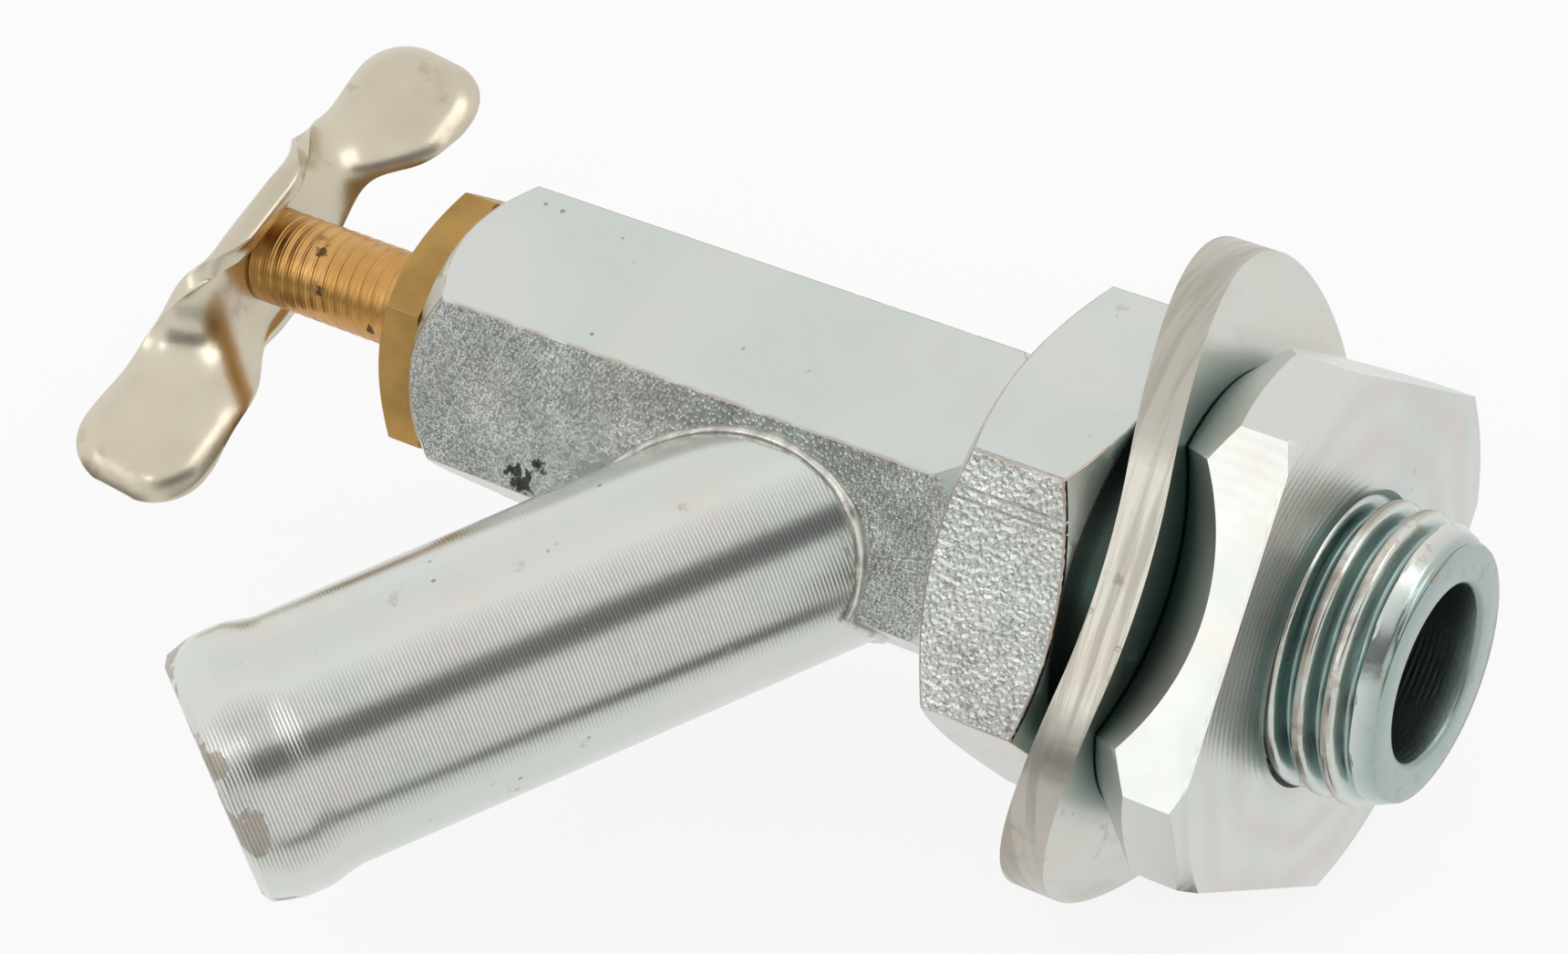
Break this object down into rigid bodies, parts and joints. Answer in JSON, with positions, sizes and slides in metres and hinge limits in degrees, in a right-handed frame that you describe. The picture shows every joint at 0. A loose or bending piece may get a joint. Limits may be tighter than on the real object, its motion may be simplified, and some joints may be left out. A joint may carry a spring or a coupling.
{
  "type": "heater water tap",
  "caption": "Screw-down heater water tap: threaded inlet with lock nut and bowed washer, hexagon body, slanted hose outlet and a wing handle on a threaded spindle.",
  "frame": {"origin": "on the tap's axis where the free inlet thread starts, 0.1 mm outside the lock nut's outer face", "axes": "+X along the tap's axis out of the inlet; the outlet tube lies in the XY plane and leans towards -Y and -X; +Z square to both"},
  "size_m": [0.0885, 0.0608, 0.037],
  "materials": {
    "plated_body": "dull old plating, pitted on the flats",
    "plated_nipple": "dull plating over machined faces",
    "plated_tube": "dull plating with fine turned lines and scratches",
    "plated_washer": "dull plating, brown in the corners",
    "plated_nut": "dull plating with faint tool rings",
    "plated_handle": "smooth warm plating",
    "solder": "dull solder fillet",
    "brass_gland": "bare aged brass",
    "brass_spindle": "bare brass with a fine thread",
    "brass_inner": "plain turned brass",
    "packing_cord": "greased packing cord pressed to a ring",
    "rubber_seat": "plain rubber"
  },
  "bodies": {
    "tap": {"tap_body": "plated_body", "inlet_nipple": "plated_nipple", "outlet_tube": "plated_tube", "braze_fillet": "solder", "saddle_washer": "plated_washer", "lock_nut": "plated_nut", "gland_nut": "brass_gland", "gland_packing": "packing_cord", "packing_washer": "brass_inner"},
    "valve": {"valve_jumper": "brass_inner", "seat_washer": "rubber_seat", "washer_screw": "brass_inner"},
    "stem": {"spindle": "brass_spindle", "handle": "plated_handle"}
  },
  "joints": [
    {"name": "valve_travel", "type": "slide", "parent": "tap", "child": "valve", "axis": [1, 0, 0], "range_m": [0, 0.0049]},
    {"name": "handle_turn", "type": "hinge", "parent": "valve", "child": "stem", "pos_m": [-0.07, 0, 0], "axis": [1, 0, 0], "range_deg": [0, 1805]}
  ],
  "couplings": [
    {"joint": "valve_travel", "follows": "handle_turn", "m_per_rad": 0.00015549}
  ]
}
